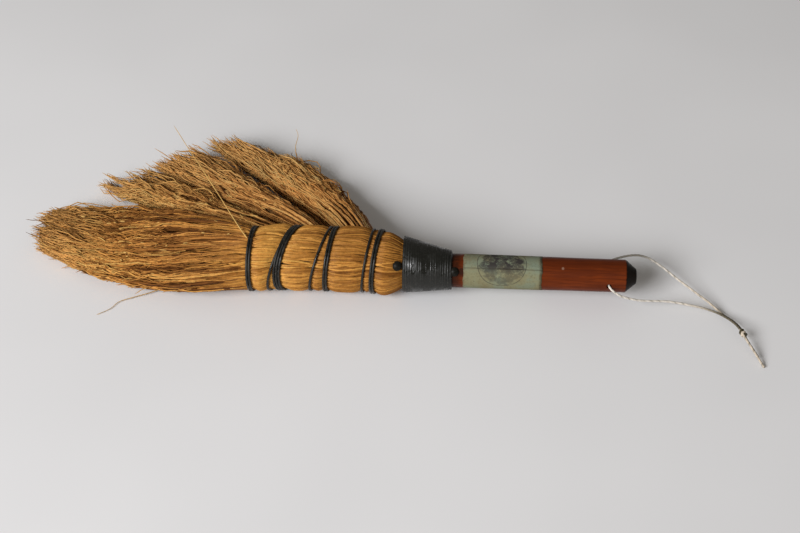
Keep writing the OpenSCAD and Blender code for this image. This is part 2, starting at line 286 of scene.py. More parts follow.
# ---- Materials ----
class Shader:
    """A Principled material and short ways to add nodes to it."""

    def __init__(self, name, roughness, specular):
        self.material = bpy.data.materials.new(name)
        self.material.use_nodes = True
        self.tree = self.material.node_tree
        self.surface = self.tree.nodes["Principled BSDF"]
        self.set("Roughness", roughness)
        self.set("Specular IOR Level", specular)

    def node(self, kind):
        return self.tree.nodes.new(kind)

    def put(self, socket, value):
        if isinstance(value, bpy.types.NodeSocket):
            self.tree.links.new(value, socket)
        elif isinstance(value, tuple):
            socket.default_value = (*value, 1)
        else:
            socket.default_value = value

    def set(self, name, value):
        self.put(self.surface.inputs[name], value)

    def coords(self, scale=(1, 1, 1), shift=(0, 0, 0)):
        """Object coordinates in millimetres of the whisk's own frame, times scale."""
        c = self.node("ShaderNodeTexCoord")
        m = self.node("ShaderNodeMapping")
        self.put(m.inputs["Vector"], c.outputs["Object"])
        zero = (MID_X, CENTRE_Y, 0)
        m.inputs["Scale"].default_value = [1000 * s for s in scale]
        m.inputs["Location"].default_value = [a * s + b for a, s, b in zip(zero, scale, shift)]
        return m.outputs["Vector"]

    def axes(self):
        """The same coordinates as three numbers."""
        n = self.node("ShaderNodeSeparateXYZ")
        self.put(n.inputs[0], self.coords())
        return n.outputs

    def tint(self):
        """The mesh's own colours."""
        n = self.node("ShaderNodeAttribute")
        n.attribute_name = "tint"
        return n.outputs["Color"]

    def noise(self, scale, detail, rough=0.55, distortion=0.0, shift=(0, 0, 0)):
        """Noise in blotches of about 1 / scale millimetres along each axis."""
        n = self.node("ShaderNodeTexNoise")
        self.put(n.inputs["Vector"], self.coords(scale, shift))
        n.inputs["Scale"].default_value = 1.0
        n.inputs["Detail"].default_value = detail
        n.inputs["Roughness"].default_value = rough
        n.inputs["Distortion"].default_value = distortion
        return n.outputs["Fac"]

    def math(self, operation, a, b=None, clamp=False):
        n = self.node("ShaderNodeMath")
        n.operation = operation
        n.use_clamp = clamp
        self.put(n.inputs[0], a)
        if b is not None:
            self.put(n.inputs[1], b)
        return n.outputs[0]

    def plus(self, a, b):
        return self.math("ADD", a, b)

    def minus(self, a, b):
        return self.math("SUBTRACT", a, b)

    def times(self, a, b):
        return self.math("MULTIPLY", a, b)

    def most(self, a, b):
        return self.math("MAXIMUM", a, b)

    def fade(self, value, low, high, out_low=0.0, out_high=1.0):
        """Goes smoothly from out_low to out_high as value goes from low to high."""
        n = self.node("ShaderNodeMapRange")
        n.interpolation_type = "SMOOTHSTEP"
        for socket, v in zip(n.inputs, (value, low, high, out_low, out_high)):
            self.put(socket, v)
        return n.outputs[0]

    def blend(self, factor, a, b, kind="MIX"):
        n = self.node("ShaderNodeMix")
        n.data_type = "RGBA"
        n.blend_type = kind
        self.put(n.inputs["Factor"], factor)
        self.put(n.inputs["A"], a)
        self.put(n.inputs["B"], b)
        return n.outputs["Result"]

    def bump(self, height, strength, distance, after=None):
        n = self.node("ShaderNodeBump")
        n.inputs["Strength"].default_value = strength
        n.inputs["Distance"].default_value = distance
        self.put(n.inputs["Height"], height)
        if after is not None:
            self.put(n.inputs["Normal"], after)
        return n.outputs["Normal"]

    def distance(self, point):
        """How far it is from point, in the whisk's millimetres."""
        n = self.node("ShaderNodeVectorMath")
        n.operation = "DISTANCE"
        self.put(n.inputs[0], self.coords())
        n.inputs[1].default_value = point
        return n.outputs["Value"]


def fibre_material(name, roughness, spots):
    """Straw-like: the strand's own tint with mottling along it."""
    m = Shader(name, roughness, 0.1)
    mottle = m.noise((0.45, 0.45, 0.45), 2)
    fine = m.noise((2.5, 2.5, 2.5), 2)
    shade = m.times(m.fade(mottle, 0.3, 0.75, 1.0, 1.0 - spots), m.fade(fine, 0.25, 0.8, 1.12, 0.8))
    m.set("Base Color", m.blend(1.0, m.tint(), shade, "MULTIPLY"))
    m.set("Normal", m.bump(fine, 0.35, 0.0001))
    return m.material


def shade_liner_material():
    """Painted shade: a dark surface behind the fibres that stands in for the shade deep among them."""
    m = Shader("fibre_painted_shade", 0.9, 0.1)
    n = m.noise((0.15, 1.2, 1.2), 3)
    m.set("Base Color", m.blend(m.fade(n, 0.35, 0.7), (0.09, 0.045, 0.015), (0.2, 0.1, 0.035)))
    m.set("Normal", m.bump(n, 0.6, 0.0006))
    return m.material


def wire_material(name, roughness, specular, dusty, worn):
    """Black lacquered wire, worn thin and dusty in places."""
    m = Shader(name, roughness, specular)
    wear = m.noise((0.7, 0.7, 0.7), 4, 0.65)
    dust = m.noise((0.12, 0.12, 0.12), 3)
    base = m.blend(m.fade(wear, 0.52, 0.74), (0.008, 0.008, 0.006), worn)
    m.set("Base Color", m.blend(m.fade(dust, 0.5, 0.8, 0.0, dusty), base, (0.09, 0.08, 0.06)))
    dull = m.fade(dust, 0.42, 0.55, roughness, roughness + 0.3)
    m.set("Roughness", m.plus(m.fade(wear, 0.3, 0.75, -0.06, 0.12), dull))
    lumps = m.noise((0.3, 0.13, 0.13), 2)
    m.set("Normal", m.bump(lumps, 0.6, 0.0012, m.bump(wear, 0.15, 0.0001)))
    return m.material


def nail_material():
    """Black painted iron."""
    m = Shader("black_tack", 0.4, 0.09)
    n = m.noise((0.9, 0.9, 0.9), 4, 0.6)
    m.set("Base Color", m.blend(m.fade(n, 0.55, 0.75), (0.009, 0.008, 0.006), (0.035, 0.028, 0.02)))
    m.set("Roughness", m.fade(n, 0.3, 0.7, 0.32, 0.55))
    m.set("Normal", m.bump(n, 0.4, 0.0002))
    return m.material


def twine_material():
    m = Shader("twine", 0.85, 0.2)
    n = m.noise((1.6, 1.6, 1.6), 3)
    m.set("Base Color", m.blend(1.0, m.tint(), m.fade(n, 0.2, 0.8, 1.1, 0.75), "MULTIPLY"))
    m.set("Normal", m.bump(n, 0.6, 0.00025))
    return m.material


fibre_look = fibre_material("brush_fibre", roughness=0.62, spots=0.3)
stalk_look = fibre_material("stalks", roughness=0.42, spots=0.25)
shade_liner_look = shade_liner_material()
wire_look = wire_material(
    "black_wire", roughness=0.26, specular=0.4, dusty=0.35, worn=(0.045, 0.033, 0.02))
lacquer_look = wire_material(
    "black_lacquer", roughness=0.17, specular=0.42, dusty=0.03, worn=(0.024, 0.024, 0.019))
nail_look = nail_material()
twine_look = twine_material()


# ---- The shoulder's and the neck's shape ----
def half_size(x, across):
    """Half the shoulder's width or height where across is the whole, and the neck's radius past x = 0."""
    shoulder = mix(across / 2, NECK_R, ease((x + NECK_RUN) / NECK_RUN))
    return np.where(x < 0, shoulder, mix(NECK_R, NECK_END_R, x / NECK_L))


def mid_y(x):
    """Where the middle of the shoulder and the neck lies across the whisk. mid_z gives its height."""
    along = mix(TIP_OFF, SHOULDER_OFF, ease((x + SHOULDER_L) / TIP_RUN))
    shoulder = mix(along, NECK_OFF, ease(x / NECK_RUN / 2 + 1))
    return np.where(x < 0, shoulder, mix(NECK_OFF, 0, x / NECK_L))


def mid_z(x):
    shoulder = mix(SHOULDER_Z, HANDLE_Z + NECK_LIFT, ease((x + NECK_RUN) / NECK_RUN))
    return np.where(x < 0, shoulder, mix(HANDLE_Z + NECK_LIFT, HANDLE_Z, x / NECK_L))


# Each turn of a wire band is where it crosses the middle, and how much it slants across and upwards
BANDS = [
    [[-100.65, 0.07, -0.03], [-99, 0.07, -0.03]],
    [[-80.5, 0.37, 0.16], [-77.3, 0.35, -0.03], [-75.65, 0.35, -0.03], [-74, 0.35, -0.03]],
    [[-55.5, 0.26, 0.16], [-49.65, 0.14, 0.04], [-48, 0.14, 0.04]],
    [[-24.5, 0.14, 0.08], [-19.15, 0.15, 0.02], [-17.5, 0.15, 0.02]],
]


def turn_x(turn, a):
    """Where a turn runs at angle a round the shoulder."""
    return turn[0] + turn[1] * SHOULDER_W / 2 * np.cos(a) + turn[2] * SHOULDER_H / 2 * np.sin(a)


def pinch(x, a):
    """How far the bands draw the shoulder in at x and angle a."""
    deep = 0
    for band in BANDS:
        for turn in band:
            deep = np.maximum(deep, np.exp(-((x - turn_x(turn, a)) / 4) ** 2))
    return PINCH * deep


def stalk_point(x, a, grow):
    """Points on the shoulder's or the neck's surface, moved outwards by grow."""
    out = grow - np.where(x < 2, pinch(x, a), 0)
    y = mid_y(x) + (half_size(x, SHOULDER_W) + out) * np.cos(a)
    z = mid_z(x) + (half_size(x, SHOULDER_H) + out) * np.sin(a)
    return np.stack([x + 0 * a, y, z], -1)


# ---- Wire bands ----
def band_wire(number, turns):
    """One wire that runs on from turn to turn along the underside, with both ends tucked in."""
    steps = 96
    start_angle = -80
    whole = len(turns) * steps
    i = np.arange(whole + 1)
    k = np.minimum(i // steps, len(turns) - 1)
    f = i / steps - k
    these = np.array(turns)[k]
    following = np.array(turns)[np.minimum(k + 1, len(turns) - 1)]
    turn = mix(these, following, ease((f - 0.8) / 0.2)[:, None]).T
    a = np.radians(start_angle - 360 * f)
    tuck = 2.5 * (np.maximum(0, 1 - i / 8) + np.maximum(0, 1 - (whole - i) / 8))
    # The wire lies this much higher than in part.scad, to stand clear of the single stalks
    lift = 0.38
    wire = stalk_point(turn_x(turn, a), a, WIRE_R - WIRE_BITE + lift - tuck)
    wire[:, 2] = np.maximum(wire[:, 2], WIRE_R + 0.02)
    ob = tube_mesh(f"band_wire_{number}", wire, WIRE_R, wire_look)
    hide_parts(f"wire_band_{number}")


for number, turns in enumerate(BANDS, 1):
    band_wire(number, turns)


# ---- Neck winding ----
def neck_ring(x, r, spin):
    """Points round the neck in planes across the handle, as the wire is laid."""
    y = mix(NECK_OFF, 0, x / NECK_L) + r * np.cos(spin)
    z = HANDLE_Z + mix(NECK_LIFT, 0, x / NECK_L) + r * np.sin(spin)
    return np.stack([x + 0 * spin, y, z], -1)


def neck_wire():
    """One wire, wound side by side in one layer, a little unevenly, with both ends tucked under."""
    rng = np.random.default_rng(11)
    turns = int((NECK_L + NECK_LAP) // WIRE_D)
    start_angle = -1.2
    f = np.linspace(0, 1, turns * 72 + 1)
    spin = 2 * np.pi * turns * f
    x = mix(WIRE_R - NECK_LAP, NECK_L - WIRE_R, f)
    uneven = waves(rng, 1, x, [(3.7, 0.07), (11.0, 0.1)])[0]
    r = mix(NECK_R, NECK_END_R, x / NECK_L) + WIRE_R + 0.1 * f + uneven
    x = x + waves(rng, 1, x, [(3.0, 0.08), (7.0, 0.12)])[0]
    tuck = 2.2 * (np.maximum(0, 1 - f * turns * 8) + np.maximum(0, 1 - (1 - f) * turns * 8))
    return neck_ring(x, r - tuck, spin + start_angle)


neck = tube_mesh("neck_wire", neck_wire(), WIRE_R, lacquer_look)
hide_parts("neck_winding")

# Lacquer fills the grooves between the turns: (x, how far it stands above the neck)
FILL = ((-1.6, 0.2), (-1.2, 1.4), (10.0, 1.56), (20.0, 1.59), (30.0, 1.5), (30.6, 0.2))
a = round_angles(64)
rings = [neck_ring(np.full(64, x), mix(NECK_R, NECK_END_R, x / NECK_L) + up, a) for x, up in FILL]
rings_object("neck_liner", rings, lacquer_look)

# ---- The colours of the straw ----
GOLD = np.array([0.58, 0.27, 0.055])
PALE = np.array([0.64, 0.39, 0.12])
FADED = np.array([1.06, 0.56, 0.175])


def straw_tint(mean, shade):
    """Brighter straw is yellower and darker straw is redder. It is never brighter than dull gold."""
    shade = np.asarray(shade)[..., None]
    tint = mean * shade ** np.array([1.0, 1.22, 1.4])
    return tint * np.minimum(1, 0.64 / tint.max(-1, keepdims=True))


def own_shade(rng, count, steps, spread):
    """A shade for each strand that drifts slowly along it."""
    own = np.exp(rng.normal(0, spread, (count, 1)))
    return own * (1 + waves(rng, count, np.linspace(0, 1, steps), [(0.35, 0.09), (0.9, 0.1)]))


# ---- The outlines of the heads: the curves of the right and the left edge ----
MAIN = [[[-SHOULDER_L, 24.5], [-171, 74], [-253, 58]], [[-SHOULDER_L, -17], [-168, -35], [-253, 23]]]
FAN = [
    [[[-74, 22], [-110, 60], [-189, 109]], [[-95, 22], [-154, 56], [-221, 89]]],
    [[[-51, 22], [-80, 74], [-150, 128]], [[-66, 22], [-108, 63], [-187, 112]]],
    [[[-18, 22], [-30, 70], [-74, 122]], [[-44, 22], [-74, 78], [-148, 138]]],
]


def head_points(edges, root_t, t, u, w):
    """Points in a head: t runs along it, and u across it and w up through it go from -1 to 1."""
    right, left = bezier(edges[0], t), bezier(edges[1], t)
    middle, side = (right + left) / 2, (right - left) / 2
    thick = mix(root_t, HEAD_TIP_T, ease(t * 1.2)) / 2
    z = thick + (SHOULDER_Z - root_t / 2) * np.maximum(0, 1 - t) ** 2
    return np.concatenate([middle + side * u[..., None], (z + thick * w)[..., None]], -1)


# ---- The shoulder's stalks ----
def shoulder_layer(rng, name, count, depth, radius, drift, tone, reach):
    """Stalks from under the neck winding to band 1, and on into the main head for reach of its
    length. depth is how far their middles lie below the surface, drift how far they wander in
    degrees, and tone how light they are."""
    steps, beyond = 56, 16
    x = np.linspace(9, -SHOULDER_L, steps)[None].repeat(count, 0)
    start = 2 * np.pi * (np.arange(count) + rng.uniform(-0.4, 0.4, count)) / count
    far = rng.uniform(0.6, 1.3, (count, 1)) * reach * np.linspace(0, 1, beyond + 1)[None, 1:]
    run = np.concatenate([x, -SHOULDER_L - MAIN_L * far], 1)
    a = start[:, None] + np.radians(waves(rng, count, run, [(30.0, drift), (80.0, 1.6 * drift)]))
    # Some stalks cross their neighbours, and lie higher for it
    crossing = (rng.random((count, 1)) < 0.2) * rng.normal(0, 9, (count, 1))
    a = a + np.radians(crossing) * np.sin(run / 26 + rng.uniform(0, 6.28, (count, 1)))
    swell = waves(rng, count, run, [(24.0, 0.1), (60.0, 0.14)]) + rng.normal(0, 0.1, (count, 1))
    swell = swell + 0.04 * np.abs(crossing) / 9
    # They bulge between the bands and dip under each band and under the winding
    tight = pinch(x, a[:, :steps]) / PINCH
    grow = -depth + swell[:, :steps]
    grow += (0.42 * (1 - tight) - 0.6 * tight ** 7) * ease((-x - 4) / 8) - 1.5 * ease((x + 6) / 5)
    bound = stalk_point(x, a[:, :steps], grow)
    level = 1 + (swell[:, steps:] - depth) / 21 - 0.05 * far / reach
    u = level * np.cos(a[:, steps:])
    w = level * np.sin(a[:, steps:])
    path = np.concatenate([bound, head_points(MAIN, MAIN_ROOT_T, far, u, w)], 1)
    wide = radius * rng.uniform(0.8, 1.25, (count, 1)) * (1 + waves(rng, count, run, [(20.0, 0.1)]))
    wide *= mix(1.0, 0.35, ease((-run - SHOULDER_L + 6) / 40)) * mix(1.0, 0.8, ease((run + 14) / 14))
    # Painted light and shade along the stalks: brightest between bands 1 and 2, darker towards the main
    # head and towards the neck
    stations = [-150, -118, -103, -88, -62, -34, -8]
    light = np.interp(run, stations, [0.62, 0.67, 0.86, 1.17, 0.76, 0.64, 0.63])
    shade = own_shade(rng, count, steps + beyond, 0.22) * tone * light
    return strands(name, path, wide, straw_tint(GOLD, shade), stalk_look, 6)


rng = np.random.default_rng(3)
outer = shoulder_layer(rng, "shoulder_stalks", count=140, depth=0.5, radius=0.66, drift=1.5,
                       tone=1.0, reach=0.3)
shoulder_layer(rng, "shoulder_stalks_under", count=125, depth=0.9, radius=0.72, drift=1.9,
               tone=0.95, reach=0.2)
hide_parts("cover_stalks", "stalk_core")
# A dark sheet of painted shade under the stalks
a = round_angles(40)
rings = [stalk_point(np.full(40, x), a, -1.6) for x in np.linspace(-SHOULDER_L, 14, 50)]
rings_object("shoulder_liner", rings, shade_liner_look)


# ---- Brush heads: clumps of fibres that part more and more towards their crinkled, frayed tips ----
def lay_fibres(rng, own, tips, short):
    """Where each fibre runs in its head, as t, u and w of head_points, and how far that is from the
    head's middle. own is each fibre's clump, tips how far the head reaches from its one side to the
    other, and short the share of the clumps that end early and by how much at least."""
    clumps, count, root = own[-1] + 1, len(own), -0.08
    angle = rng.uniform(0, 2 * np.pi, clumps)
    out = rng.random(clumps) ** 0.34 * 0.98
    u0, w0 = out * np.cos(angle), out * np.sin(angle)
    ends = np.interp(u0, np.linspace(-1, 1, len(tips)), tips) + rng.normal(0, 0.02, clumps)
    early = rng.random(clumps) < short[0]
    ends = np.where(early, ends - rng.uniform(short[1], 0.28, clumps), ends)
    last = ends[own] + rng.normal(0, 0.024, count)
    f = np.linspace(0, 1, FIBRE_STEPS)
    t = root + (last[:, None] - root) * f
    slow_u = waves(rng, clumps, f, [(1.1, 0.08), (0.45, 0.035)])
    slow_w = waves(rng, clumps, f, [(1.1, 0.1), (0.45, 0.05)])
    part = 0.018 + 0.048 * ease(t * 1.1) ** 1.2
    off = rng.normal(0, 1, (2, count, 1)) * np.minimum(1, 0.4 + rng.random((2, count, 1)))
    u = u0[own][:, None] + slow_u[own] * ease(t * 2) + off[0] * part
    w = w0[own][:, None] + slow_w[own] * ease(t * 2) + off[1] * part * 1.6
    # None leaves the head's own outline by more than a little
    reach = np.sqrt(u * u + w * w)
    limit = mix(0.98, 0.93, ease(t)) + 0.06 * rng.random((count, 1))
    squeeze = np.where(reach > limit, limit / np.maximum(reach, 1e-6), 1)
    return t, u * squeeze, w * squeeze, reach * squeeze


def directions(path):
    """Along each fibre: ahead, level across it, and square to both."""
    ahead = np.gradient(path, axis=1)
    ahead /= np.linalg.norm(ahead, axis=2, keepdims=True)
    flat = np.stack([-ahead[..., 1], ahead[..., 0], 0 * ahead[..., 0]], -1)
    flat /= np.linalg.norm(flat, axis=2, keepdims=True) + 1e-9
    return ahead, flat, np.cross(ahead, flat)


def crinkle(rng, path, ways, own, t, u, w, length, stray):
    """Bends the fibres, more and more towards their tips. stray is the share of its curl that an
    end at the head's near edge keeps."""
    count = len(own)
    f = np.linspace(0, 1, FIBRE_STEPS)
    grow = 0.16 + 0.84 * ease((t - 0.06) / 0.62) ** 1.2
    hold = ease((w[:, -1:] + 0.85) / 0.5) * mix(stray, 1.0, ease((u[:, -1:] + 0.9) / 0.3))
    for way, size in zip(ways, (3.0, 2.4)):
        bent = waves(rng, count, t * length, [(8.0, 0.28), (14.0, 0.42), (30.0, 0.44)])
        bent += waves(rng, own[-1] + 1, f * length, [(14.0, 0.35), (28.0, 0.9)])[own]
        curl = (rng.random((count, 1)) < 0.4) * rng.normal(0, size, (count, 1)) * hold
        turned = rng.uniform(2.4, 4.6, (count, 1)) * np.maximum(0, (f - 0.74) / 0.26) ** 1.4
        path = path + way * (bent * grow + curl * np.sin(turned))[..., None]
    return path


def side_twigs(rng, name, path, ways, shade, mean):
    """Short twigs off the fibres, most of them near the tips."""
    ahead, flat, over = ways
    count, steps = shade.shape
    many, points = int(count * 0.9), 8
    host = rng.integers(0, count, many)
    at = (steps * (0.4 + 0.58 * rng.random(many) ** 0.55)).astype(int).clip(1, steps - 2)
    heading = ahead[host, at] + flat[host, at] * rng.normal(0, 0.2, (many, 1))
    heading = heading + over[host, at] * rng.normal(0, 0.12, (many, 1))
    heading /= np.linalg.norm(heading, axis=1, keepdims=True)
    size = rng.uniform(5, 15, (many, 1)) * mix(1.0, 0.7, at / steps)[:, None]
    g = np.linspace(0, 1, points)
    bend = rng.normal(0, 0.22, (many, 1, 3)) * [1, 1, 0.5]
    twig = path[host, at][:, None] + heading[:, None] * size[:, None] * g[:, None]
    twig = twig + bend * size[:, None] * g[:, None] ** 2
    twig = twig + flat[host, at][:, None] * (waves(rng, many, g, [(0.55, 0.4)]) * g)[..., None]
    fine = mix(0.34, 0.2, g)[None] * rng.uniform(0.8, 1.3, (many, 1))
    tint = straw_tint(mean, shade[host, at][:, None] * rng.uniform(0.8, 1.6, (many, 1)) * np.ones(points))
    strands(f"{name}_twigs", twig, fine, tint, fibre_look, 3)


def caught_husks(rng, name, path, ahead, u, w, many):
    """Pale husks caught among the fibres on top and along the near edge."""
    steps, points = path.shape[1], 6
    outside = np.flatnonzero((w[:, steps // 2] > 0.55) | (u[:, steps // 2] < -0.8))
    host = rng.choice(outside, many)
    at = (steps * rng.uniform(0.2, 0.9, many)).astype(int)
    heading = ahead[host, at] + rng.normal(0, 0.35, (many, 3)) * [1, 1, 0.4]
    g = np.linspace(-1, 1, points)
    half = heading[:, None] * rng.uniform(0.9, 2.2, (many, 1, 1))
    husk = path[host, at][:, None] + [0, 0, 0.35] + half * g[:, None]
    thick = 0.52 * np.sqrt(1.05 - g * g)[None] * rng.uniform(0.7, 1.2, (many, 1))
    tint = straw_tint(PALE, rng.uniform(0.75, 1.1, (many, 1)) * np.ones(points))
    strands(f"{name}_husks", husk, thick, tint, fibre_look, 5)


def head_liner(name, edges, root_t):
    """A dark sheet of painted shade behind the fibres: a thinner, shorter head that narrows towards its
    end.
    """
    a = round_angles(24)
    rings = []
    for q in np.linspace(0, 0.7, 14):
        u = 0.76 * np.cos(a) * (1 - 0.6 * max(0, q - 0.4))
        w = 0.66 * np.sin(a) * (1 - 0.9 * max(0, q - 0.35))
        rings.append(head_points(edges, root_t, np.full(24, q), u, w))
    rings.append(np.repeat(rings[-1].mean(0)[None], 24, 0))
    rings_object(f"{name}_liner", rings, shade_liner_look)


def brush(name, node, seed, edges, root_t, clumps, length, mean, tips,
          short=(0.5, 0.0), rise=1.0, stray=1.0, pieces=2):
    """One head, about length long and of mean colour. rise is 1 where the roots come out from below
    the shoulder's top, and 0 where they run straight on from the shoulder."""
    rng = np.random.default_rng(seed)
    own = np.repeat(np.arange(clumps), 8)
    count = len(own)
    t, u, w, reach = lay_fibres(rng, own, tips, short)
    path = head_points(edges, root_t, t, u, w)
    lifted = (1 - ease(t / 0.3)) * np.maximum(w, 0) * rise
    path = path + np.stack([0 * t, -5 * lifted, 4.5 * lifted], -1)
    ways = directions(path)
    path = crinkle(rng, path, ways[1:], own, t, u, w, length, stray)
    # A few fibres are stout, and the stoutest are pale
    radius = mix(0.56, 0.37, ease(t)) * rng.uniform(0.6, 1.25, (count, 1))
    luck = rng.random((count, 1))
    radius = radius * np.select([luck < 0.03, luck < 0.16], [1.8, 1.4], 1)
    shade = own_shade(rng, count, FIBRE_STEPS, 0.42)
    shade = shade * np.exp(rng.normal(-0.05, 0.42, clumps))[own][:, None]
    shade = np.where(luck < 0.03, 1.1 * np.maximum(shade, 1.15), shade)
    # Painted shade: they are darker near the head's middle. They are also paler at their tips
    shade = shade * mix(0.28, 1.0, ease((reach - 0.55) / 0.4)) * mix(0.94, 2.45, ease((t - 0.45) / 0.5))
    share = int(math.ceil(count / pieces))
    for p in range(pieces):
        pick = slice(p * share, min(count, (p + 1) * share))
        tint = straw_tint(mean, shade[pick])
        tint = mix(tint, tint[..., :1] * FADED, 0.75 * ease((t[pick] - 0.6) / 0.35)[..., None])
        ob = strands(f"{name}_{'abc'[p]}", path[pick], radius[pick], tint, fibre_look, 3)
        if p == 0:
            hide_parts(node)
    side_twigs(rng, name, path, ways, shade, mean)
    caught_husks(rng, name, path, ways[0], u, w, int(length * 0.75))
    head_liner(name, edges, root_t)


# The heads' mean colours differ, fan 1 darkest and fan 3 lightest: partly the straw's own tone and partly
# painted light and shade
brush("main_fibres", "main_head", 21, MAIN, MAIN_ROOT_T, clumps=290, length=MAIN_L,
      mean=np.array([0.385, 0.162, 0.034]),
      tips=[0.9, 0.93, 0.95, 0.95, 0.92, 0.935, 0.955, 0.93, 0.94],
      short=(0.35, 0.0), rise=0, stray=0.15, pieces=3)
brush("fan_1_fibres", "fan_head_1", 22, FAN[0], FAN_ROOT_T, clumps=140, length=150,
      mean=np.array([0.4, 0.186, 0.048]),
      tips=[0.98, 1.01, 0.98, 0.95, 0.93], short=(0.8, 0.08))
brush("fan_2_fibres", "fan_head_2", 23, FAN[1], FAN_ROOT_T, clumps=150, length=145,
      mean=np.array([0.54, 0.254, 0.071]),
      tips=[0.95, 0.97, 0.99, 0.98, 0.96])
brush("fan_3_fibres", "fan_head_3", 24, FAN[2], FAN_ROOT_T, clumps=140, length=125,
      mean=np.array([0.78, 0.385, 0.112]),
      tips=[1.03, 1.01, 0.96, 0.94, 0.93])


# ---- Stray straws ----
def straws(name, routes, radii, tint):
    for number, (route, radius) in enumerate(zip(routes, radii), 1):
        path = catmull(route, 8)
        wide = radius * np.linspace(1, 0.45, len(path))
        tints = np.broadcast_to(tint, (1, len(path), 3))
        strands(f"{name}_{number}", path[None], wide[None], tints, stalk_look, 6)


straws("long_straw", [
    [[-102.5, -1, 42.2], [-110, 12, 41.6], [-122, 37, 38], [-140, 74, 33], [-156, 106, 28.5],
     [-172, 138, 25]],
    [[-108, 10, 41.5], [-117, 27, 39], [-129, 52, 35], [-143, 80, 31]],
    [[-78, 112, 9], [-83, 124, 10], [-85, 134, 12], [-84, 144, 14.5], [-86, 150, 16]],
], [0.46, 0.38, 0.3], PALE * 1.1)
straws("low_straw", [
    [[-150, -6, 6], [-163, -10, 2.4], [-170, -13, 1.5], [-178, -16.5, 1.2], [-187, -21, 0.9],
     [-192, -28, 0.8], [-200, -34, 0.7]],
], [0.36], PALE * 0.9)


# ---- Nails ----
TACK_ANGLE = math.radians(143)
TACK_FACING = np.array([0, math.cos(TACK_ANGLE), math.sin(TACK_ANGLE)])


def nail(name, head_d, head_h, base):
    """A nail with a domed head, which faces TACK_FACING. base is the middle of its head's underside."""
    shank_r, shank_l, sides = 0.7, 6, 40
    ball = (head_d * head_d / 4 + head_h * head_h) / (2 * head_h)
    turns = np.linspace(math.asin(head_d / 2 / ball), 0.02, 12)
    dome = [(ball * math.sin(q), head_h - ball + ball * math.cos(q)) for q in turns]
    rim = [(head_d / 2 - 0.5, -0.5), (head_d / 2 - 0.12, -0.35)]
    profile = [(shank_r, -shank_l), *rim, *dome, (0.001, head_h)]
    axis = TACK_FACING / np.linalg.norm(TACK_FACING)
    one = np.cross(axis, [1, 0, 0])
    one /= np.linalg.norm(one)
    two = np.cross(axis, one)
    rings = [np.asarray(base) + axis * h + r * spokes(one, two, sides) for r, h in profile]
    return rings_object(name, rings, nail_look)


x = np.array(-5.0)
r = half_size(x, SHOULDER_W) + 0.2
front = nail("front_nail", 6.6, 1.8, [x, mid_y(x) + r * TACK_FACING[1], mid_z(x) + r * TACK_FACING[2]])
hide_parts("front_tack")
x, r = NECK_L + 1.0, HANDLE_D / 2 + 0.4
rear = nail("rear_nail", 6.2, 1.9, [x, r * TACK_FACING[1], HANDLE_Z + r * TACK_FACING[2]])
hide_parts("rear_tack")

# ---- The handle: varnished wood, black butt ----
TACK_SHADOW_PLACE = (NECK_L + 5.5, -8.5, HANDLE_Z + 6.7)
DENT_GLINT_PLACE = (102.3, -5.1, HANDLE_Z + 9.3)


def handle_material():
    m = Shader("handle_wood", 0.36, 0.09)
    grain = m.noise((0.035, 0.75, 0.75), 5, 0.6, 0.4)
    pores = m.noise((0.12, 3.2, 3.2), 3)
    cloud = m.noise((0.05, 0.12, 0.12), 3)
    ragged = m.noise((0.3, 0.5, 0.5), 4)
    x = m.axes()["X"]
    wood = m.blend(m.fade(grain, 0.32, 0.68), (0.09, 0.016, 0.0035), (0.155, 0.028, 0.005))
    wood = m.blend(m.fade(pores, 0.52, 0.7, 0.0, 0.6), wood, (0.045, 0.008, 0.002))
    wood = m.blend(m.fade(cloud, 0.35, 0.7, 0.0, 0.55), wood, (0.075, 0.013, 0.003))
    # Between the winding and the label, darker towards the winding: grime and painted shade. Beside the
    # rear tack: its painted shadow. And a painted highlight of a small dent in the varnish
    grime_and_shade = m.times(m.fade(x, LABEL_X, LABEL_X - 5.5), m.fade(ragged, 0.2, 0.6, 0.35, 0.85))
    # Painted shadow of the rear tack, falling to its right
    beside = m.plus(m.distance(TACK_SHADOW_PLACE), m.times(ragged, 3.0))
    grime_and_shade = m.most(grime_and_shade, m.fade(beside, 5.4, 3.0, 0.0, 0.9))
    wood = m.blend(grime_and_shade, wood, (0.022, 0.007, 0.003))
    # Painted highlight of a small dent in the varnish
    dent_glint = m.fade(m.plus(m.distance(DENT_GLINT_PLACE), m.times(ragged, 0.8)), 1.5, 0.9)
    wood = m.blend(dent_glint, wood, (0.22, 0.12, 0.08))
    # The butt's black paint, with a ragged edge and small chips
    edge = m.plus(x, m.times(m.minus(ragged, 0.5), 1.4))
    black = m.fade(edge, CHAMFER_X - 0.35, CHAMFER_X + 0.35)
    chips = m.fade(m.noise((0.9, 0.9, 0.9), 4, 0.65), 0.66, 0.72)
    paint = m.blend(chips, (0.008, 0.005, 0.003), (0.07, 0.02, 0.008))
    m.set("Base Color", m.blend(black, wood, paint))
    m.set("Roughness", m.plus(m.fade(cloud, 0.3, 0.7, 0.3, 0.44), m.times(black, 0.08)))
    m.set("Normal", m.bump(pores, 0.22, 0.00012, m.bump(grain, 0.2, 0.0003)))
    return m.material


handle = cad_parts["handle"]
handle.data.materials.clear()
handle.data.materials.append(handle_material())

# ---- The label: one turn of old paper with a lap ----
# Angles round the label are 0 at the top and grow towards the front
MARK_X = 62.8
MARK_ANGLE = math.radians(19)
MARK_R = 15.9
FOLD_ANGLE = math.radians(38)


